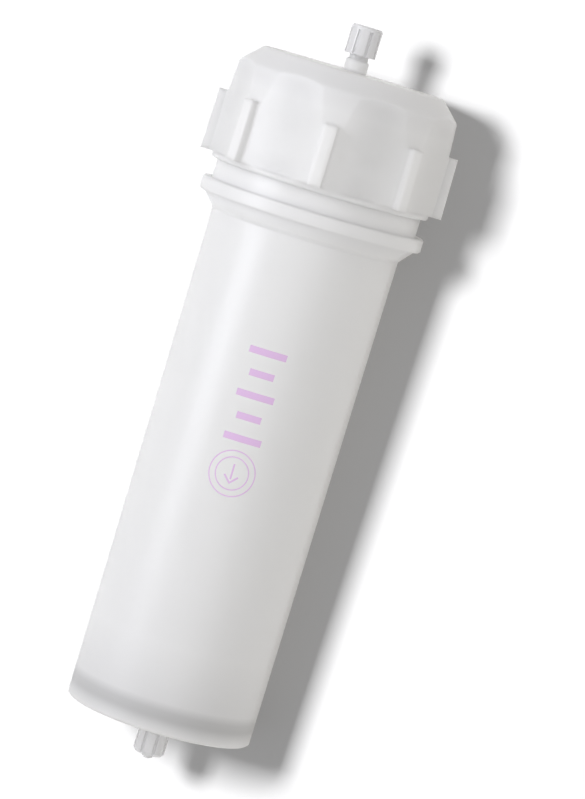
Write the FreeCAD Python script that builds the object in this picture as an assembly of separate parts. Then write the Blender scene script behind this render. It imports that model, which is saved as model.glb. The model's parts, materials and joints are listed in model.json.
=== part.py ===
import FreeCAD, Part

import math
import os

# Size exclusion column, lying on its side. All lengths are in millimetres.
# It is drawn upright first, with Z along its axis and the foot at z = 0, and then laid down.

# Tube, with a plain bore and a drafted outside
BORE_R = 29.5
TUBE_WALL = 3.0
TUBE_DRAFT = 0.5
TUBE_LENGTH = 173.9
FOOT_DEPTH = 5.5
FOOT_WALL = 2.9
PLATE_THICKNESS = 2.7
EDGE_BEVEL = 0.5

# Cone, flange, plain collar and neck above the tube
CONE_HEIGHT = 5.1
CONE_STEP = 4.4
FLANGE_THICKNESS = 4.7
FLANGE_OVERHANG = 1.8
COLLAR_WALL = 6.6
COLLAR_SHOWING = 6.7
NECK_WALL = 4.4

# Screw thread of neck and cap
THREAD_PITCH = 5.0
THREAD_TURNS = 1.5
THREAD_HEIGHT = 1.55
THREAD_RADIAL_GAP = 0.35
THREAD_ABOVE_COLLAR = 9.0
THREAD_ROOT_HALF = 1.45
THREAD_CREST_HALF = 0.9
THREAD_SINK = 0.6
THREAD_START_ANGLE = 40.0

# Screw cap, from its rim upwards
COLLAR_IN_RIM = 1.0
COLLAR_GAP = 0.4
RIM_LIP = 0.3
RIM_WALL = 1.8
GRIP_WALL = 1.7
GRIP_HEIGHT = 21.0
GRIP_SIDES = 8
RIB_PROUD = 2.1
RIB_DRAFT = 0.4
RIB_WIDTH = 4.7
RIB_ROUNDING = 0.6
CAP_WALL = 3.35
CAP_WALL_DRAFT = 0.7
CAP_WALL_HEIGHT = 11.5
SHOULDER_HEIGHT = 6.7
SHOULDER_SETBACK = 6.8
CAP_ROOF = 3.5
SPIGOT_GAP = 0.4
SPIGOT_WALL = 3.0
SPIGOT_DEPTH = 5.5

# Gasket between the neck's rim and the cap
LAND_BELOW_TOP = 7.95
GASKET_THICKNESS = 2.0
GASKET_MARGIN = 0.3
SEAT_GAP = 0.05

# Packing
FRIT_THICKNESS = 3.0
BED_LENGTH = 160.0
PACKING_GAP = 0.1
CHANNEL_COUNT = 8
CHANNEL_WIDTH = 1.6
CHANNEL_DEPTH = 0.8
CHANNEL_MARGIN = 3.5

# Luer fittings: a standard 6 per cent taper, so the radius grows by 0.03 for each millimetre
LUER_SLOPE = 0.03
LUER_GAP = 0.03
EAR_PROUD = 0.65
EAR_WIDTH = 3.0
EAR_THICKNESS = 1.0

# Inlet on the cap
INLET_MOUTH_R = 2.145
INLET_DEPTH = 7.5
BARREL_WALL = 1.105
BARREL_HEIGHT = 8.0
BOSS_STEP = 0.78
BOSS_HEIGHT = 4.4
PASSAGE_R = 0.9

# Outlet under the base plate
TIP_END_R = 1.98
TIP_LENGTH = 7.6
HUB_STEP = 1.8
HUB_FLARE = 1.0
HUB_BELOW_FOOT = 2.2

# Ribbed plug on the inlet
PLUG_HEIGHT = 10.1
PLUG_ABOVE_BOSS = 1.6
PLUG_ROOF = 2.4
PLUG_GAP = 0.25
PLUG_WALL = 1.25
PLUG_CONE_PAST_BARREL = 7.2
PLUG_EDGE = 0.6

# Ribbed cap on the outlet
CLOSURE_NECK_WALL = 1.2
CLOSURE_NECK_HEIGHT = 2.2
CLOSURE_GRIP_STEP = 2.05
CLOSURE_GRIP_HEIGHT = 8.4
CLOSURE_GAP = 0.2
CLOSURE_FLOOR_GAP = 0.4
CLOSURE_EDGE = 1.0
NUB_R = 1.9
NUB_LENGTH = 1.5

# Grooves between the grip ribs of both small closures
GROOVE_COUNT = 8
GROOVE_WIDTH = 1.1
GROOVE_DEPTH = 0.7
GROOVE_END = 1.6
CUT_CLEAR = 1.0

# Radii, worked out from the sizes above
TUBE_FOOT_R = BORE_R + TUBE_WALL
TUBE_TOP_R = TUBE_FOOT_R + TUBE_DRAFT
CONE_TOP_R = TUBE_TOP_R + CONE_STEP
FLANGE_R = CONE_TOP_R + FLANGE_OVERHANG
COLLAR_R = BORE_R + COLLAR_WALL
NECK_R = BORE_R + NECK_WALL
MOUTH_R = COLLAR_R + COLLAR_GAP
CAP_BORE_R = NECK_R + THREAD_HEIGHT + THREAD_RADIAL_GAP
RIM_R = MOUTH_R + RIM_WALL
GRIP_FLAT_R = CAP_BORE_R + GRIP_WALL
GRIP_CORNER_R = GRIP_FLAT_R / math.cos(math.pi / GRIP_SIDES)
RIB_R = GRIP_CORNER_R + RIB_PROUD
CAP_WALL_R = CAP_BORE_R + CAP_WALL
SHOULDER_R = CAP_WALL_R - CAP_WALL_DRAFT
CAP_TOP_R = SHOULDER_R - SHOULDER_SETBACK
SPIGOT_R = BORE_R - SPIGOT_GAP
BARREL_R = INLET_MOUTH_R + BARREL_WALL
BOSS_R = BARREL_R + BOSS_STEP
PLUG_BORE_R = BARREL_R + EAR_PROUD + PLUG_GAP
PLUG_R = PLUG_BORE_R + PLUG_WALL

# Heights along the axis, worked out from the sizes above
PLATE_TOP_Z = FOOT_DEPTH + PLATE_THICKNESS
FLANGE_Z = TUBE_LENGTH + CONE_HEIGHT
COLLAR_Z = FLANGE_Z + FLANGE_THICKNESS
CAP_Z = COLLAR_Z + COLLAR_SHOWING
COLLAR_TOP_Z = CAP_Z + COLLAR_IN_RIM
MOUTH_TOP_Z = COLLAR_TOP_Z + COLLAR_GAP
GRIP_Z = MOUTH_TOP_Z + RIM_LIP
CAP_WALL_Z = GRIP_Z + GRIP_HEIGHT
SHOULDER_Z = CAP_WALL_Z + CAP_WALL_HEIGHT
CAP_TOP_Z = SHOULDER_Z + SHOULDER_HEIGHT
LAND_Z = CAP_TOP_Z - LAND_BELOW_TOP
GASKET_Z = LAND_Z - SEAT_GAP - GASKET_THICKNESS
NECK_TOP_Z = GASKET_Z
NECK_THREAD_Z = COLLAR_TOP_Z + THREAD_ABOVE_COLLAR
CAP_THREAD_Z = NECK_THREAD_Z - THREAD_PITCH / 2
BOSS_TOP_Z = CAP_TOP_Z + BOSS_HEIGHT
BARREL_TOP_Z = BOSS_TOP_Z + BARREL_HEIGHT
PLUG_Z = BOSS_TOP_Z + PLUG_ABOVE_BOSS
HUB_END_Z = -HUB_BELOW_FOOT
TIP_END_Z = HUB_END_Z - TIP_LENGTH
CLOSURE_TOP_Z = HUB_END_Z - CLOSURE_GAP
CLOSURE_GRIP_Z = CLOSURE_TOP_Z - CLOSURE_NECK_HEIGHT
CLOSURE_END_Z = CLOSURE_GRIP_Z - CLOSURE_GRIP_HEIGHT


def outline(corners):
    """Closed face in the XZ plane. A corner is (r, z), or (r, z, bevel) to cut it off by that setback."""
    points = [FreeCAD.Vector(corner[0], 0, corner[1]) for corner in corners]
    ring = []
    for i, corner in enumerate(corners):
        here = points[i]
        if len(corner) == 2:
            ring.append(here)
            continue
        back = (points[i - 1] - here).normalize()
        ahead = (points[(i + 1) % len(points)] - here).normalize()
        ring += [here + back * corner[2], here + ahead * corner[2]]
    return Part.Face(Part.makePolygon(ring + ring[:1]))


def turned(corners):
    """Solid of revolution about the column's axis."""
    return outline(corners).revolve(FreeCAD.Vector(), FreeCAD.Vector(0, 0, 1), 360)


def disc(radius, low_z, high_z):
    """Plain cylinder about the column's axis."""
    return Part.makeCylinder(radius, high_z - low_z, FreeCAD.Vector(0, 0, low_z))


def around(shape, count, first_angle=0.0):
    """Copies of a shape, evenly spaced about the axis."""
    copies = []
    for i in range(count):
        copy = shape.copy()
        copy.rotate(FreeCAD.Vector(), FreeCAD.Vector(0, 0, 1), first_angle + i * 360 / count)
        copies.append(copy)
    return copies


def inlet_r(z):
    """Radius of the female luer taper at a height."""
    return INLET_MOUTH_R - LUER_SLOPE * (BARREL_TOP_Z - z)


def tip_r(z):
    """Radius of the male luer taper at a height."""
    return TIP_END_R + LUER_SLOPE * (z - TIP_END_Z)


def thread_ridge(root_r, crest_r, first_z):
    """Right-handed helical ridge of trapezoidal section, sunk a little into the wall that carries it."""
    inward = math.copysign(1, root_r - crest_r)
    sunk_r = root_r + inward * THREAD_SINK
    sunk_half = THREAD_ROOT_HALF + (THREAD_ROOT_HALF - THREAD_CREST_HALF) * THREAD_SINK / THREAD_HEIGHT
    helix = Part.makeLongHelix(THREAD_PITCH, THREAD_PITCH * THREAD_TURNS, sunk_r, 0, False)
    corners = [
        FreeCAD.Vector(sunk_r, 0, -sunk_half),
        FreeCAD.Vector(crest_r, 0, -THREAD_CREST_HALF),
        FreeCAD.Vector(crest_r, 0, THREAD_CREST_HALF),
        FreeCAD.Vector(sunk_r, 0, sunk_half),
    ]
    section = Part.makePolygon(corners + corners[:1])
    ridge = Part.Wire(helix).makePipeShell([section], True, True)
    ridge.rotate(FreeCAD.Vector(), FreeCAD.Vector(0, 0, 1), THREAD_START_ANGLE)
    ridge.translate(FreeCAD.Vector(0, 0, first_z))
    return ridge


def ears(wall_r, high_z):
    """The two lugs at the mouth of a female luer."""
    reach = wall_r + EAR_PROUD
    low_z = high_z - EAR_THICKNESS
    bar = Part.makeBox(2 * reach, EAR_WIDTH, EAR_THICKNESS, FreeCAD.Vector(-reach, -EAR_WIDTH / 2, low_z))
    return disc(reach, low_z, high_z).common(bar)


def grooves(outer_r, low_z, high_z):
    """Round-bottomed grooves between the grip ribs of a small closure."""
    middle_r = outer_r - GROOVE_DEPTH + GROOVE_WIDTH / 2
    rod = Part.makeCylinder(GROOVE_WIDTH / 2, high_z - low_z, FreeCAD.Vector(middle_r, 0, low_z))
    slot = Part.makeBox(GROOVE_WIDTH, GROOVE_WIDTH, high_z - low_z,
                        FreeCAD.Vector(middle_r, -GROOVE_WIDTH / 2, low_z))
    return around(rod.fuse(slot).removeSplitter(), GROOVE_COUNT)


def column_tube():
    hub_end_r = tip_r(HUB_END_Z) + HUB_STEP
    tube = turned([
        (PASSAGE_R, TIP_END_Z),
        (TIP_END_R, TIP_END_Z),
        (tip_r(HUB_END_Z), HUB_END_Z),
        (hub_end_r, HUB_END_Z),
        (hub_end_r + HUB_FLARE, FOOT_DEPTH),
        (TUBE_FOOT_R - FOOT_WALL, FOOT_DEPTH),
        (TUBE_FOOT_R - FOOT_WALL, 0),
        (TUBE_FOOT_R, 0, EDGE_BEVEL),
        (TUBE_TOP_R, TUBE_LENGTH),
        (CONE_TOP_R, FLANGE_Z),
        (FLANGE_R, FLANGE_Z, EDGE_BEVEL),
        (FLANGE_R, COLLAR_Z, EDGE_BEVEL),
        (COLLAR_R, COLLAR_Z),
        (COLLAR_R, COLLAR_TOP_Z),
        (NECK_R, COLLAR_TOP_Z),
        (NECK_R, NECK_TOP_Z, EDGE_BEVEL),
        (BORE_R, NECK_TOP_Z),
        (BORE_R, PLATE_TOP_Z),
        (PASSAGE_R, PLATE_TOP_Z),
    ])
    channel = Part.makeBox(BORE_R - CHANNEL_MARGIN, CHANNEL_WIDTH, CHANNEL_DEPTH,
                           FreeCAD.Vector(0, -CHANNEL_WIDTH / 2, PLATE_TOP_Z - CHANNEL_DEPTH))
    tube = tube.cut(around(channel, CHANNEL_COUNT))
    return tube.fuse(thread_ridge(NECK_R, NECK_R + THREAD_HEIGHT, NECK_THREAD_Z))


def grip_rib():
    """One drafted rib of the grip, pointing along X, with its long outer edges rounded."""
    root_r = CAP_BORE_R + THREAD_SINK
    rib = outline([
        (root_r, GRIP_Z),
        (RIB_R, GRIP_Z),
        (RIB_R - RIB_DRAFT, CAP_WALL_Z),
        (root_r, CAP_WALL_Z),
    ]).extrude(FreeCAD.Vector(0, RIB_WIDTH, 0))
    rib.translate(FreeCAD.Vector(0, -RIB_WIDTH / 2, 0))
    halfway_r = (root_r + RIB_R) / 2
    long_edges = [edge for edge in rib.Edges
                  if min(vertex.X for vertex in edge.Vertexes) > halfway_r
                  and abs(edge.Vertexes[0].Z - edge.Vertexes[1].Z) > GRIP_HEIGHT / 2]
    return rib.makeFillet(RIB_ROUNDING, long_edges)


def cap_outside():
    half_turn = 180 / GRIP_SIDES
    corner = Part.Vertex(GRIP_CORNER_R, 0, GRIP_Z)
    ring = [copy.Point for copy in around(corner, GRIP_SIDES, half_turn)]
    octagon = Part.Face(Part.makePolygon(ring + ring[:1]))
    wall = turned([
        (0, CAP_WALL_Z),
        (CAP_WALL_R, CAP_WALL_Z),
        (SHOULDER_R, SHOULDER_Z, EDGE_BEVEL),
        (CAP_TOP_R, CAP_TOP_Z, EDGE_BEVEL),
        (0, CAP_TOP_Z),
    ])
    wall = wall.common(octagon.extrude(FreeCAD.Vector(0, 0, CAP_TOP_Z)))
    grip = octagon.extrude(FreeCAD.Vector(0, 0, GRIP_HEIGHT))
    rim = turned([
        (0, CAP_Z),
        (RIM_R, CAP_Z, EDGE_BEVEL),
        (RIM_R, GRIP_Z),
        (0, GRIP_Z),
    ])
    return wall.fuse([grip, rim] + around(grip_rib(), GRIP_SIDES, half_turn))


def screw_cap():
    fitting = turned([
        (0, CAP_TOP_Z - CAP_ROOF / 2),
        (BOSS_R, CAP_TOP_Z - CAP_ROOF / 2),
        (BOSS_R, BOSS_TOP_Z, EDGE_BEVEL),
        (BARREL_R, BOSS_TOP_Z),
        (BARREL_R, BARREL_TOP_Z),
        (0, BARREL_TOP_Z),
    ])
    spigot_end_z = NECK_TOP_Z - SPIGOT_DEPTH
    inside = turned([
        (0, CAP_Z - CUT_CLEAR),
        (MOUTH_R, CAP_Z - CUT_CLEAR),
        (MOUTH_R, MOUTH_TOP_Z),
        (CAP_BORE_R, MOUTH_TOP_Z),
        (CAP_BORE_R, LAND_Z),
        (SPIGOT_R, LAND_Z),
        (SPIGOT_R, spigot_end_z, EDGE_BEVEL),
        (SPIGOT_R - SPIGOT_WALL, spigot_end_z),
        (SPIGOT_R - SPIGOT_WALL, CAP_TOP_Z - CAP_ROOF),
        (0, CAP_TOP_Z - CAP_ROOF),
    ])
    luer_floor_z = BARREL_TOP_Z - INLET_DEPTH
    passage = turned([
        (0, CAP_TOP_Z - CAP_ROOF - CUT_CLEAR),
        (PASSAGE_R, CAP_TOP_Z - CAP_ROOF - CUT_CLEAR),
        (PASSAGE_R, luer_floor_z),
        (inlet_r(luer_floor_z), luer_floor_z),
        (inlet_r(BARREL_TOP_Z + CUT_CLEAR), BARREL_TOP_Z + CUT_CLEAR),
        (0, BARREL_TOP_Z + CUT_CLEAR),
    ])
    cap = cap_outside().fuse([fitting, ears(BARREL_R, BARREL_TOP_Z)]).removeSplitter()
    cap = cap.cut([inside, passage])
    return cap.fuse(thread_ridge(CAP_BORE_R, CAP_BORE_R - THREAD_HEIGHT, CAP_THREAD_Z))


def cap_gasket():
    ring = disc(NECK_R - EDGE_BEVEL, GASKET_Z, GASKET_Z + GASKET_THICKNESS)
    return ring.cut(disc(BORE_R + GASKET_MARGIN, GASKET_Z, GASKET_Z + GASKET_THICKNESS))


def inlet_plug():
    top_z = PLUG_Z + PLUG_HEIGHT
    ceiling_z = top_z - PLUG_ROOF
    cone_end_z = BARREL_TOP_Z - PLUG_CONE_PAST_BARREL
    body = turned([
        (0, PLUG_Z),
        (PLUG_R, PLUG_Z),
        (PLUG_R, top_z, PLUG_EDGE),
        (0, top_z),
    ])
    body = body.cut(grooves(PLUG_R, PLUG_Z - CUT_CLEAR, top_z - GROOVE_END))
    body = body.cut(disc(PLUG_BORE_R, PLUG_Z - CUT_CLEAR, ceiling_z))
    cone = turned([
        (0, cone_end_z),
        (inlet_r(cone_end_z) - LUER_GAP, cone_end_z),
        (inlet_r(ceiling_z) - LUER_GAP, ceiling_z),
        (inlet_r(ceiling_z) - LUER_GAP, ceiling_z + PLUG_ROOF / 2),
        (0, ceiling_z + PLUG_ROOF / 2),
    ])
    return body.fuse(cone)


def outlet_cap():
    floor_z = TIP_END_Z - CLOSURE_FLOOR_GAP
    neck_r = tip_r(CLOSURE_TOP_Z) + LUER_GAP + CLOSURE_NECK_WALL
    grip_r = neck_r + CLOSURE_GRIP_STEP
    body = turned([
        (0, CLOSURE_END_Z - NUB_LENGTH),
        (NUB_R, CLOSURE_END_Z - NUB_LENGTH, EDGE_BEVEL),
        (NUB_R, CLOSURE_END_Z),
        (grip_r, CLOSURE_END_Z, CLOSURE_EDGE),
        (grip_r, CLOSURE_GRIP_Z, EDGE_BEVEL),
        (neck_r, CLOSURE_GRIP_Z),
        (neck_r, CLOSURE_TOP_Z),
        (0, CLOSURE_TOP_Z),
    ])
    body = body.fuse(ears(neck_r, CLOSURE_TOP_Z))
    body = body.cut(grooves(grip_r, CLOSURE_END_Z - CUT_CLEAR, CLOSURE_GRIP_Z + CUT_CLEAR))
    socket = turned([
        (0, floor_z),
        (tip_r(floor_z) + LUER_GAP, floor_z),
        (tip_r(CLOSURE_TOP_Z + CUT_CLEAR) + LUER_GAP, CLOSURE_TOP_Z + CUT_CLEAR),
        (0, CLOSURE_TOP_Z + CUT_CLEAR),
    ])
    return body.cut(socket)


def lay_down(shapes):
    """Lay the upright column on its foot and on two ribs of its cap, cap towards +X."""
    half_turn = math.pi / GRIP_SIDES
    rib_drop = (RIB_R - RIB_ROUNDING) * math.cos(half_turn)
    rib_drop += (RIB_WIDTH / 2 - RIB_ROUNDING) * math.sin(half_turn) + RIB_ROUNDING
    foot_drop = TUBE_FOOT_R + TUBE_DRAFT * EDGE_BEVEL / TUBE_LENGTH
    rise_on_ribs = math.atan2(rib_drop - foot_drop, GRIP_Z - EDGE_BEVEL)
    rise_on_flange = math.atan2(FLANGE_R - foot_drop, FLANGE_Z)
    rise = max(rise_on_ribs, rise_on_flange)
    for shape in shapes:
        shape.rotate(FreeCAD.Vector(), FreeCAD.Vector(0, 1, 0), 90 - math.degrees(rise))
    box = Part.makeCompound(shapes).optimalBoundingBox()
    for shape in shapes:
        shape.translate(FreeCAD.Vector(-box.Center.x, -box.Center.y, -box.ZMin))
    return rise


fill_r = BORE_R - PACKING_GAP
bed_z = PLATE_TOP_Z + FRIT_THICKNESS
top_frit_z = bed_z + BED_LENGTH

pieces = {
    "column_tube": column_tube(),
    "screw_cap": screw_cap(),
    "cap_gasket": cap_gasket(),
    "bottom_frit": disc(fill_r, PLATE_TOP_Z, bed_z),
    "resin_bed": disc(fill_r, bed_z, top_frit_z),
    "top_frit": disc(fill_r, top_frit_z, top_frit_z + FRIT_THICKNESS),
    "inlet_plug": inlet_plug(),
    "outlet_cap": outlet_cap(),
}
axis_rise = lay_down(list(pieces.values()))

os.makedirs("parts", exist_ok=True)
for name, shape in pieces.items():
    shape.exportStep("parts/" + name + ".step")
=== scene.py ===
import json
import math

import bpy
from mathutils import Matrix, Vector


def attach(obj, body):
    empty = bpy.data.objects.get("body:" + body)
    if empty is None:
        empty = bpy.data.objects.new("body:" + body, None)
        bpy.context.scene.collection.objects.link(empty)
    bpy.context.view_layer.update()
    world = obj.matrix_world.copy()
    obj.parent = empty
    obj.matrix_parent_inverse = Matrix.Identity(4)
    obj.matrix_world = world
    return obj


# Size exclusion column: natural polypropylene over a white packed bed, on a white table, seen from above.
# Lengths are in metres, angles in degrees.

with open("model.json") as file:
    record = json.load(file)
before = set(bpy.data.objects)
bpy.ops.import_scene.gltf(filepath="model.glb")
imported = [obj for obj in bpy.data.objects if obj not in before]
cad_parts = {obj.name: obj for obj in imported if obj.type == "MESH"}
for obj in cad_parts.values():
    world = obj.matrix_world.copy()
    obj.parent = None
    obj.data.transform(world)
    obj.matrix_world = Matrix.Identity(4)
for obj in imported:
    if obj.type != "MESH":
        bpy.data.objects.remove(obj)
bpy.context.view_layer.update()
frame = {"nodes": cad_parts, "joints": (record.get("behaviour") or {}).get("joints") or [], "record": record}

MM = 0.001

# The column's axis, from its screw joint. Angles about it are counted from straight up towards -Y.
joints = {joint["name"]: joint for joint in frame["joints"]}
mounts = {mount["name"]: mount for mount in frame["record"]["mounts"]}
AXIS = Vector(joints["cap_turn"]["axis"]).normalized()
UP = (Vector((0, 0, 1)) - AXIS * AXIS.z).normalized()
SIDE = AXIS.cross(UP)
FLANGE_ABOVE_FOOT = 179 * MM
FOOT = Vector(joints["cap_turn"]["pos_m"])
FOOT -= AXIS * (FOOT - Vector(mounts["flange_seat"]["pos_m"])).dot(AXIS)
FOOT -= AXIS * FLANGE_ABOVE_FOOT

# Camera: where it stands from the column, in the photograph's frame, 799 pixels high
PHOTO_HEIGHT = 799
VIEW_ANGLE = 25.25
CAMERA_DISTANCE = 1.425
CAMERA_ABOVE_FOOT = 0.2528
CAMERA_TILT = 5.38
CAMERA_PAN = 0.49
COLUMN_LEAN = 16.89
FOCAL_PIXELS = 4190
SENSOR_HEIGHT = 36.0
CAMERA_REACH = 20

# Table: its glow keeps the shadow pale beside the column, and grows to white far from it
TABLE_HALF = 6.0
TABLE_LIFT = 0.115
TABLE_NEAR = 0.28
TABLE_FAR = 0.75

# Daylight: one tone from above eye level, and a warmer one that it fades to below it
WORLD_ABOVE = "CECDCC"
WORLD_BELOW = "CAC6BE"
WORLD_FADE = 0.5

# Lamps: a strip on the left, a fill beside the camera, and a key above, which lights the table alone.
# Their angles are about the axis, and their heights are along it, from the foot.
AIM_HEIGHT = 0.09
SOFT_DISTANCE = 0.9
STRIP_ANGLE = -58.0
STRIP_HEIGHT = 0.27
STRIP_LENGTH = 0.7
STRIP_WIDTH = 0.45
STRIP_POWER = 3.0
STRIP_COLOUR = "F5F7FF"
FILL_HEIGHT = 0.12
FILL_SIZE = 0.9
FILL_POWER = 1.0
KEY_ANGLE = -8.5
KEY_DISTANCE = 1.2
KEY_HEIGHT = 0.30
KEY_SIZE = 0.26
KEY_POWER = 38.0

# Light that enters milky plastic comes out after many turns
BOUNCES = 12

# Print on the tube: an arrow in two rings, which points the way of the flow, and plain bars towards the cap
PRINT_ANGLE = 24.85
RING_HEIGHT = 92 * MM
RING_RADII = (7.8 * MM, 5.6 * MM)
RING_LINE = 0.4 * MM
ARROW_LENGTH = 6.5 * MM
ARROW_BARB = 2.4 * MM
ARROW_LINE = 0.6 * MM
BAR_WIDTHS = (13 * MM, 8.5 * MM, 13 * MM, 8.5 * MM, 13 * MM)
BAR_LINE = 2.3 * MM
FIRST_BAR_HEIGHT = 104 * MM
BAR_SPACING = 7.5 * MM
PRINT_STEP = 0.8 * MM
INK_LIFT = 0.03 * MM

# Outside of the tube: its radius at the foot, and how much wider it gets for each unit of height
TUBE_FOOT_RADIUS = 32.5 * MM
TUBE_FLARE = 0.5 / 173.9

# Moulded plastic: its refraction and shine, its flow marks, the fine skin left by the mould, and how finely
# its soft edges are worked out. A real skin's grain is finer, and drawn as coarse as it needs to show.
PLASTIC_IOR = 1.49
PLASTIC_SHINE = 0.8
FLOW_DETAIL = 3.0
SKIN_DETAIL = 2.0
SKIN_BUMP = 0.4
SKIN_RELIEF = 0.01 * MM
SKIN_GLOSS_RANGE = 0.03
EDGE_SAMPLES = 8

# Grains of gel and of sintered plastic
GRAIN_IOR = 1.4
GRAIN_BUMP = 0.5
GRAIN_RELIEF = 0.05 * MM

# Places of a Mix node's two inputs and its result, for numbers, for vectors and for colours
NUMBER_A, NUMBER_B, NUMBER_OUT = 2, 3, 0
VECTOR_A, VECTOR_B, VECTOR_OUT = 4, 5, 1
COLOUR_A, COLOUR_B, COLOUR_OUT = 6, 7, 2

# Painted shade: a factor on the outer wall's colour by height above the foot, for the share of the light
# that comes back out of the wall: little from the hollow foot, most beside the gel, and less from the flange
# and the hollow crown of the cap. Near the axis the colour is left whole, as if all of it came back.
TUBE_PAINTED_SHADE = (
    (0, 0.80), (3 * MM, 0.69), (5.5 * MM, 0.56), (8 * MM, 0.60), (11 * MM, 0.80), (30 * MM, 0.92),
    (110 * MM, 1.0), (174 * MM, 1.0), (179 * MM, 0.89), (184 * MM, 0.89), (188 * MM, 1.0),
)
CAP_PAINTED_SHADE = ((0, 1.0), (218 * MM, 1.0), (225 * MM, 0.90))
WALL_INSIDE = 26 * MM
WALL_OUTSIDE = 31 * MM

# Light that spreads inside the wall evens out the shade of the forms that stand out from it. Each has its
# share, and the radii and the heights above the foot between which it fades in: the cap's flats and ribs
# below the crown, and the tube's cone, flange and collar.
EVENED_GRIP = (0.5, (36.2 * MM, 37.3 * MM), (224 * MM, 214 * MM))
EVENED_FLANGE = (0.7, (33.1 * MM, 34.2 * MM), (168 * MM, 174 * MM))


def linear(colour):
    """Linear RGBA of an sRGB hex colour."""
    channels = [int(colour[i:i + 2], 16) / 255 for i in (0, 2, 4)]
    return [c / 12.92 if c <= 0.04045 else ((c + 0.055) / 1.055) ** 2.4 for c in channels] + [1.0]


def add(tree, kind, settings=None, links=None):
    """Node of one kind, with its settings and the sockets that feed it, by their names or places."""
    node = tree.nodes.new(kind)
    for name, value in (settings or {}).items():
        if isinstance(name, int) or name in node.inputs:
            node.inputs[name].default_value = value
        else:
            setattr(node, name, value)
    for name, socket in (links or {}).items():
        tree.links.new(socket, node.inputs[name])
    return node


def new_material(name):
    """Empty material, its node tree and its output node."""
    material = bpy.data.materials.new(name)
    material.use_nodes = True
    tree = material.node_tree
    tree.nodes.clear()
    return material, tree, add(tree, "ShaderNodeOutputMaterial")


def about_axis(tree, place):
    """Vector from the axis to a place, its length, and the height above the foot."""
    from_foot = add(tree, "ShaderNodeVectorMath", {"operation": "SUBTRACT", 1: FOOT}, {0: place})
    from_foot = from_foot.outputs["Vector"]
    on_axis = add(tree, "ShaderNodeVectorMath", {"operation": "PROJECT", 1: AXIS}, {0: from_foot})
    on_axis = on_axis.outputs["Vector"]
    outward = add(tree, "ShaderNodeVectorMath", {"operation": "SUBTRACT"}, {0: from_foot, 1: on_axis})
    outward = outward.outputs["Vector"]
    radius = add(tree, "ShaderNodeVectorMath", {"operation": "LENGTH"}, {0: outward})
    height = add(tree, "ShaderNodeVectorMath", {"operation": "LENGTH"}, {0: on_axis})
    return outward, radius.outputs["Value"], height.outputs["Value"]


def painted_wall_shade(tree, radius, height, stops):
    """Painted shade of the outer wall: a factor on its colour at each height above the foot, between stops of
    (height, tone).
    """
    top = stops[-1][0]
    share = add(tree, "ShaderNodeMapRange", {"From Max": top}, {"Value": height})
    ramp = add(tree, "ShaderNodeValToRGB", links={"Fac": share.outputs["Result"]})
    points = ramp.color_ramp.elements
    points[0].color = [stops[0][1]] * 3 + [1.0]
    points[1].color = [stops[-1][1]] * 3 + [1.0]
    for at, tone in stops[1:-1]:
        points.new(at / top).color = [tone] * 3 + [1.0]
    outside = add(tree, "ShaderNodeMapRange", {"From Min": WALL_INSIDE, "From Max": WALL_OUTSIDE},
                  {"Value": radius})
    tone = add(tree, "ShaderNodeMix", {"data_type": "FLOAT", NUMBER_A: 1.0}, {
        "Factor": outside.outputs["Result"],
        NUMBER_B: ramp.outputs["Color"],
    })
    return tone.outputs[NUMBER_OUT]


def evened_normal(tree, normal, outward, radius, height, evened):
    """Normal that is turned part of the way to the round, fading in between two radii and two heights."""
    most, radii, heights = evened
    in_world = add(tree, "ShaderNodeVectorTransform", {
        "vector_type": "VECTOR",
        "convert_from": "OBJECT",
        "convert_to": "WORLD",
    }, {"Vector": outward})
    round_normal = add(tree, "ShaderNodeVectorMath", {"operation": "NORMALIZE"},
                       {0: in_world.outputs["Vector"]})
    by_radius = add(tree, "ShaderNodeMapRange", {"From Min": radii[0], "From Max": radii[1], "To Max": most},
                    {"Value": radius})
    by_height = add(tree, "ShaderNodeMapRange", {"From Min": heights[0], "From Max": heights[1]},
                    {"Value": height})
    share = add(tree, "ShaderNodeMath", {"operation": "MULTIPLY"}, {
        0: by_radius.outputs["Result"],
        1: by_height.outputs["Result"],
    })
    mixed = add(tree, "ShaderNodeMix", {"data_type": "VECTOR"}, {
        "Factor": share.outputs["Value"],
        VECTOR_A: normal,
        VECTOR_B: round_normal.outputs["Vector"],
    })
    turned = add(tree, "ShaderNodeVectorMath", {"operation": "NORMALIZE"}, {0: mixed.outputs[VECTOR_OUT]})
    return turned.outputs["Vector"]


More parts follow.
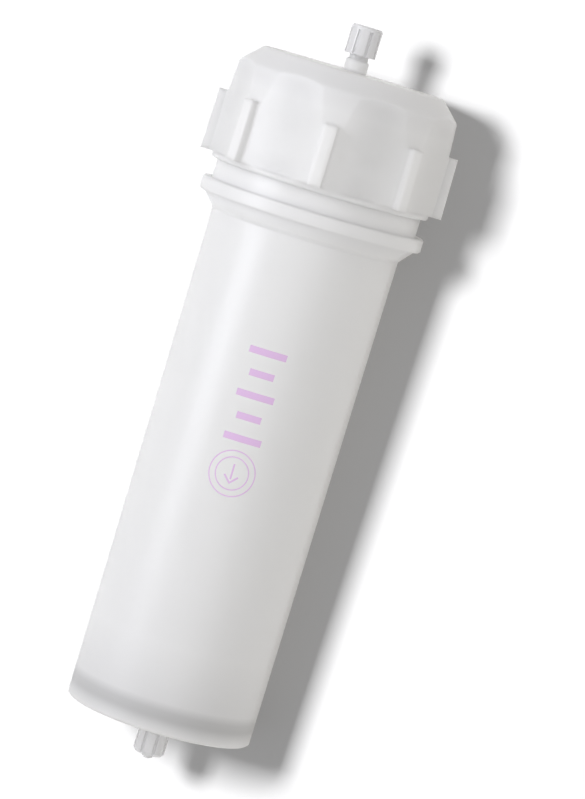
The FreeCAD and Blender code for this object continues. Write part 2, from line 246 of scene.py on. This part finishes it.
def moulded_plastic(name, dark, light, roughness, depth, edge, patch, grain,
                    painted_shade=None, evened=None, clear=0.0):
    """Translucent moulded plastic: milky body, soft edges and gloss, faint flow marks, spark-eroded skin."""
    material, tree, output = new_material(name)
    place = add(tree, "ShaderNodeTexCoord").outputs["Object"]
    flow = add(tree, "ShaderNodeTexNoise", {"Scale": 1 / patch, "Detail": FLOW_DETAIL}, {"Vector": place})
    tone = add(tree, "ShaderNodeMix", {
        "data_type": "RGBA",
        COLOUR_A: linear(dark),
        COLOUR_B: linear(light),
    }, {"Factor": flow.outputs["Fac"]})
    skin = add(tree, "ShaderNodeTexNoise", {"Scale": 1 / grain, "Detail": SKIN_DETAIL}, {"Vector": place})
    if painted_shade or evened:
        outward, radius, height = about_axis(tree, place)
    normal = add(tree, "ShaderNodeBevel", {"Radius": edge, "samples": EDGE_SAMPLES}).outputs["Normal"]
    if evened:
        normal = evened_normal(tree, normal, outward, radius, height, evened)
    bump = add(tree, "ShaderNodeBump", {"Strength": SKIN_BUMP, "Distance": SKIN_RELIEF}, {
        "Height": skin.outputs["Fac"],
        "Normal": normal,
    })
    gloss = add(tree, "ShaderNodeMapRange", {
        "To Min": roughness - SKIN_GLOSS_RANGE,
        "To Max": roughness + SKIN_GLOSS_RANGE,
    }, {"Value": skin.outputs["Fac"]})
    colour = tone.outputs[COLOUR_OUT]
    dullness = gloss.outputs["Result"]
    # Painted shade: the colour is scaled down by the factor for its height, and the skin is made duller by
    # the same factor
    if painted_shade:
        shade_factor = painted_wall_shade(tree, radius, height, painted_shade)
        shaded = add(tree, "ShaderNodeVectorMath", {"operation": "SCALE"}, {0: colour, "Scale": shade_factor})
        colour = shaded.outputs["Vector"]
        duller = add(tree, "ShaderNodeMath", {"operation": "DIVIDE"}, {0: dullness, 1: shade_factor})
        dullness = duller.outputs["Value"]
    surface = add(tree, "ShaderNodeBsdfPrincipled", {
        "IOR": PLASTIC_IOR,
        "Specular IOR Level": PLASTIC_SHINE,
        "Subsurface Weight": 1.0,
        "Subsurface Radius": (1.0, 1.0, 1.0),
        "Subsurface Scale": depth,
        "Transmission Weight": clear,
    }, {
        "Base Color": colour,
        "Roughness": dullness,
        "Normal": bump.outputs["Normal"],
    })
    tree.links.new(surface.outputs["BSDF"], output.inputs["Surface"])
    return material


def matt_white(name, dark, light, roughness, grain):
    """Opaque white material made of fine grains, such as packed gel or sintered plastic."""
    material, tree, output = new_material(name)
    place = add(tree, "ShaderNodeTexCoord").outputs["Object"]
    grains = add(tree, "ShaderNodeTexVoronoi", {"Scale": 1 / grain}, {"Vector": place})
    tone = add(tree, "ShaderNodeMix", {
        "data_type": "RGBA",
        COLOUR_A: linear(light),
        COLOUR_B: linear(dark),
    }, {"Factor": grains.outputs["Distance"]})
    bump = add(tree, "ShaderNodeBump", {"Strength": GRAIN_BUMP, "Distance": GRAIN_RELIEF},
               {"Height": grains.outputs["Distance"]})
    surface = add(tree, "ShaderNodeBsdfPrincipled", {"Roughness": roughness, "IOR": GRAIN_IOR}, {
        "Base Color": tone.outputs[COLOUR_OUT],
        "Normal": bump.outputs["Normal"],
    })
    tree.links.new(surface.outputs["BSDF"], output.inputs["Surface"])
    return material


def printing_ink(name, colour, roughness):
    """Thin, even ink of one colour."""
    material, tree, output = new_material(name)
    surface = add(tree, "ShaderNodeBsdfPrincipled", {"Base Color": linear(colour), "Roughness": roughness})
    tree.links.new(surface.outputs["BSDF"], output.inputs["Surface"])
    return material


def seen_or_mirrored(tree):
    """One where the camera, a reflection or a see-through ray looks, and zero where light is gathered."""
    path = add(tree, "ShaderNodeLightPath").outputs
    first_two = add(tree, "ShaderNodeMath", {"operation": "MAXIMUM"},
                    {0: path["Is Camera Ray"], 1: path["Is Glossy Ray"]})
    all_three = add(tree, "ShaderNodeMath", {"operation": "MAXIMUM"},
                    {0: first_two.outputs["Value"], 1: path["Is Transmission Ray"]})
    return all_three.outputs["Value"]


def table_white(name, colour):
    """White table: it takes the shadow, and shows as white where nothing shades it."""
    material, tree, output = new_material(name)
    matt = add(tree, "ShaderNodeBsdfDiffuse", {"Color": linear(colour)})
    place = add(tree, "ShaderNodeTexCoord").outputs["Object"]
    distance = add(tree, "ShaderNodeVectorMath", {"operation": "LENGTH"}, {0: place})
    lift = add(tree, "ShaderNodeMapRange", {
        "From Min": TABLE_NEAR,
        "From Max": TABLE_FAR,
        "To Min": TABLE_LIFT,
        "To Max": 1.0,
    }, {"Value": distance.outputs["Value"]})
    shown = add(tree, "ShaderNodeMath", {"operation": "MULTIPLY"},
                {0: lift.outputs["Result"], 1: seen_or_mirrored(tree)})
    glow = add(tree, "ShaderNodeEmission", {"Color": linear("FFFFFF")},
               {"Strength": shown.outputs["Value"]})
    both = add(tree, "ShaderNodeAddShader", links={0: matt.outputs["BSDF"], 1: glow.outputs["Emission"]})
    tree.links.new(both.outputs["Shader"], output.inputs["Surface"])
    return material


def dress(material, *nodes):
    """Give CAD nodes their material."""
    for node in nodes:
        for slot in frame["nodes"][node].material_slots:
            slot.material = material


def about_column(angle, radius, height):
    """Point at an angle about the axis, at a radius and a height above the foot."""
    turn = math.radians(angle)
    return FOOT + AXIS * height + (UP * math.cos(turn) + SIDE * math.sin(turn)) * radius


def strip(points, width, closed=False):
    """Edges of a line of ink through points (across, height), in steps that bend with the tube."""
    legs = zip(points, points[1:] + points[:1] if closed else points[1:])
    centre = []
    for start, end in legs:
        count = math.ceil((end - start).length / PRINT_STEP)
        centre += [start.lerp(end, i / count) for i in range(count)]
    if not closed:
        centre.append(points[-1])
    last = len(centre) - 1
    edges = []
    for i, point in enumerate(centre):
        before = point - centre[i - 1] if closed or i > 0 else centre[1] - point
        after = centre[(i + 1) % len(centre)] - point if closed or i < last else before
        across = Vector((-before.y, before.x)).normalized()
        mitre = (across + Vector((-after.y, after.x)).normalized()).normalized()
        reach = mitre * (width / 2 / mitre.dot(across))
        edges.append((point - reach, point + reach))
    return edges, closed


def on_tube(point, proud):
    """Place on the tube's wall of a point (across, height) of the print."""
    across, height = point
    radius = TUBE_FOOT_RADIUS + TUBE_FLARE * height
    return about_column(PRINT_ANGLE + math.degrees(across / radius), radius + proud, height)


def wrapped(name, strips, material):
    """Lines of ink laid round the tube as a thin closed film."""
    vertices = []
    faces = []
    for edges, closed in strips:
        # Four corners for each step along the line: left and right, proud of the wall and sunk in it
        first = len(vertices)
        for left, right in edges:
            for proud in (INK_LIFT, -INK_LIFT):
                vertices += [on_tube(left, proud), on_tube(right, proud)]
        count = len(edges)
        for i in range(count if closed else count - 1):
            near = first + 4 * i
            far = first + 4 * ((i + 1) % count)
            faces += [[near + 1, far + 1, far, near], [near + 2, far + 2, far + 3, near + 3]]
            faces += [[near, far, far + 2, near + 2], [near + 3, far + 3, far + 1, near + 1]]
        if not closed:
            end = first + 4 * (count - 1)
            faces += [[first, first + 2, first + 3, first + 1], [end + 1, end + 3, end + 2, end]]
    mesh = bpy.data.meshes.new(name)
    mesh.from_pydata(vertices, [], faces)
    mesh.materials.append(material)
    piece = bpy.data.objects.new(name, mesh)
    bpy.context.collection.objects.link(piece)
    piece.visible_shadow = False
    piece.visible_diffuse = False
    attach(piece, "column")
    return piece


def make_print(ink):
    tip = RING_HEIGHT - ARROW_LENGTH / 2
    barbs = [Vector((side * ARROW_BARB, tip + abs(side) * ARROW_BARB)) for side in (-1, 0, 1)]
    shaft = [Vector((0, tip + 2 * ARROW_LINE)), Vector((0, tip + ARROW_LENGTH))]
    strips = [strip(barbs, ARROW_LINE), strip(shaft, ARROW_LINE)]
    for radius in RING_RADII:
        count = math.ceil(math.tau * radius / PRINT_STEP)
        turns = [math.tau * i / count for i in range(count)]
        circle = [Vector((radius * math.cos(t), RING_HEIGHT + radius * math.sin(t))) for t in turns]
        strips.append(strip(circle, RING_LINE, closed=True))
    for i, width in enumerate(BAR_WIDTHS):
        height = FIRST_BAR_HEIGHT + i * BAR_SPACING
        strips.append(strip([Vector((-width / 2, height)), Vector((width / 2, height))], BAR_LINE))
    wrapped("flow_print", strips, ink)


def look_from(location, forward, right):
    """World matrix of a camera or lamp that looks along forward, with right to its right."""
    back = -forward.normalized()
    right = (right - back * right.dot(back)).normalized()
    up = back.cross(right)
    matrix = Matrix((right, up, back)).transposed().to_4x4()
    matrix.translation = location
    return matrix


def make_camera():
    camera = bpy.data.objects.new("camera", bpy.data.cameras.new("camera"))
    bpy.context.collection.objects.link(camera)
    camera.data.sensor_fit = "VERTICAL"
    camera.data.sensor_height = SENSOR_HEIGHT
    camera.data.lens = FOCAL_PIXELS * SENSOR_HEIGHT / PHOTO_HEIGHT
    camera.data.clip_end = CAMERA_REACH
    turn = math.radians(VIEW_ANGLE)
    towards_camera = UP * math.cos(turn) + SIDE * math.sin(turn)
    right = AXIS.cross(towards_camera)
    tilt = math.radians(CAMERA_TILT)
    pan = math.radians(CAMERA_PAN)
    forward = -(towards_camera * math.cos(tilt) + AXIS * math.sin(tilt))
    forward = forward * math.cos(pan) + right * math.sin(pan)
    right = (right - forward * right.dot(forward)).normalized()
    up = right.cross(forward)
    lean = math.radians(COLUMN_LEAN)
    right_leaning = right * math.cos(lean) + up * math.sin(lean)
    location = FOOT + AXIS * CAMERA_ABOVE_FOOT + towards_camera * CAMERA_DISTANCE
    camera.matrix_world = look_from(location, forward, right_leaning)
    bpy.context.scene.camera = camera


def make_lamp(name, angle, distance, height, size_along, size_across, power):
    """Soft box at an angle about the column's axis, facing the axis."""
    light = bpy.data.lights.new(name, "AREA")
    light.shape = "RECTANGLE"
    light.size = size_along
    light.size_y = size_across
    light.energy = power
    lamp = bpy.data.objects.new(name, light)
    bpy.context.collection.objects.link(lamp)
    aim = FOOT + AXIS * AIM_HEIGHT
    location = about_column(angle, distance, height)
    lamp.matrix_world = look_from(location, aim - location, AXIS)
    return lamp


def make_table(laminate):
    mesh = bpy.data.meshes.new("table")
    half = TABLE_HALF
    corners = [(-half, -half, 0), (half, -half, 0), (half, half, 0), (-half, half, 0)]
    mesh.from_pydata(corners, [], [(0, 1, 2, 3)])
    mesh.materials.append(laminate)
    table = bpy.data.objects.new("table", mesh)
    bpy.context.collection.objects.link(table)
    table.visible_diffuse = False
    return table


def light_only(lamp, table, state):
    """The lamp lights the table alone, or everything but the table."""
    group = bpy.data.collections.new(lamp.name + " lights")
    group.objects.link(table)
    group.collection_objects[0].light_linking.link_state = state
    lamp.light_linking.receiver_collection = group


def make_studio(laminate):
    table = make_table(laminate)
    left = make_lamp("left strip", VIEW_ANGLE + STRIP_ANGLE, SOFT_DISTANCE, STRIP_HEIGHT,
                     STRIP_LENGTH, STRIP_WIDTH, STRIP_POWER)
    left.data.color = linear(STRIP_COLOUR)[:3]
    light_only(left, table, "EXCLUDE")
    fill = make_lamp("fill beside the camera", VIEW_ANGLE, SOFT_DISTANCE, FILL_HEIGHT,
                     FILL_SIZE, FILL_SIZE, FILL_POWER)
    light_only(fill, table, "EXCLUDE")
    over_table = make_lamp("over the table", KEY_ANGLE, KEY_DISTANCE, KEY_HEIGHT,
                           KEY_SIZE, KEY_SIZE, KEY_POWER)
    light_only(over_table, table, "INCLUDE")
    world = bpy.data.worlds.new("soft daylight")
    bpy.context.scene.world = world
    world.use_nodes = True
    tree = world.node_tree
    tree.nodes.clear()
    direction = add(tree, "ShaderNodeTexCoord").outputs["Generated"]
    split = add(tree, "ShaderNodeSeparateXYZ", links={"Vector": direction})
    upward = add(tree, "ShaderNodeMapRange", {"From Min": -WORLD_FADE, "From Max": 0.0},
                 {"Value": split.outputs["Z"]})
    daylight = add(tree, "ShaderNodeMix", {
        "data_type": "RGBA",
        COLOUR_A: linear(WORLD_BELOW),
        COLOUR_B: linear(WORLD_ABOVE),
    }, {"Factor": upward.outputs["Result"]})
    shown = add(tree, "ShaderNodeMix", {"data_type": "RGBA", COLOUR_B: linear("FFFFFF")}, {
        "Factor": seen_or_mirrored(tree),
        COLOUR_A: daylight.outputs[COLOUR_OUT],
    })
    background = add(tree, "ShaderNodeBackground", {"Strength": 1.0},
                     {"Color": shown.outputs[COLOUR_OUT]})
    add(tree, "ShaderNodeOutputWorld", links={"Surface": background.outputs["Background"]})


# Unpigmented moulded polypropylene: milky, so its edges glow and its shadows are weak, with a satin skin
tube_pp = moulded_plastic(
    "natural polypropylene, moulded tube", "FAFAFB", "FDFDFD", roughness=0.33, depth=5 * MM,
    edge=1.2 * MM, patch=40 * MM, grain=0.5 * MM, painted_shade=TUBE_PAINTED_SHADE, evened=EVENED_FLANGE,
)
# The same plastic in the hollow cap: its colour a little greyer, as painted shade for the gel missing behind
# it, and duller from its mould
cap_pp = moulded_plastic(
    "natural polypropylene, moulded cap", "F4F4F5", "F8F8F9", roughness=0.42, depth=4 * MM,
    edge=2 * MM, patch=40 * MM, grain=0.5 * MM, painted_shade=CAP_PAINTED_SHADE, evened=EVENED_GRIP,
)
# Clarified polypropylene of the small luer closures: glossier and sharper at its ribs
clear_pp = moulded_plastic(
    "clarified polypropylene, moulded", "EEEEF0", "F4F4F5", roughness=0.12, depth=0.4 * MM,
    edge=0.1 * MM, patch=10 * MM, grain=0.4 * MM, clear=0.15,
)
# Packed agarose beads, wet and white. They are finer than shown, and drawn as coarse as they need to show
gel = matt_white("packed agarose gel", "F6F6F4", "FCFCFA", roughness=0.5, grain=0.6 * MM)
# Sintered polyethylene grains with fine pores between them: a dull white
sintered_pe = matt_white("sintered polyethylene", "F0F0EE", "F8F8F7", roughness=0.7, grain=0.4 * MM)
# Translucent moulded silicone: a soft, slightly grey ring
silicone = moulded_plastic(
    "silicone rubber, moulded", "E2E2E0", "EAEAE8", roughness=0.5, depth=1 * MM,
    edge=0.2 * MM, patch=20 * MM, grain=0.4 * MM,
)
# Pad-printed lilac ink: pale, thin and even, and a little duller than the tube under it
ink = printing_ink("lilac pad-printing ink", "E6C3EC", roughness=0.45)
# White laminate: matt and neutral, so the shadow on it is a plain grey
laminate = table_white("white laminate table", "9A9A9B")

dress(tube_pp, "column_tube")
dress(cap_pp, "screw_cap")
dress(clear_pp, "inlet_plug", "outlet_cap")
dress(gel, "resin_bed")
dress(sintered_pe, "top_frit", "bottom_frit")
dress(silicone, "cap_gasket")

make_print(ink)
make_camera()
make_studio(laminate)

bpy.context.scene.view_settings.view_transform = "Standard"
bpy.context.scene.cycles.max_bounces = BOUNCES
bpy.context.scene.cycles.diffuse_bounces = BOUNCES
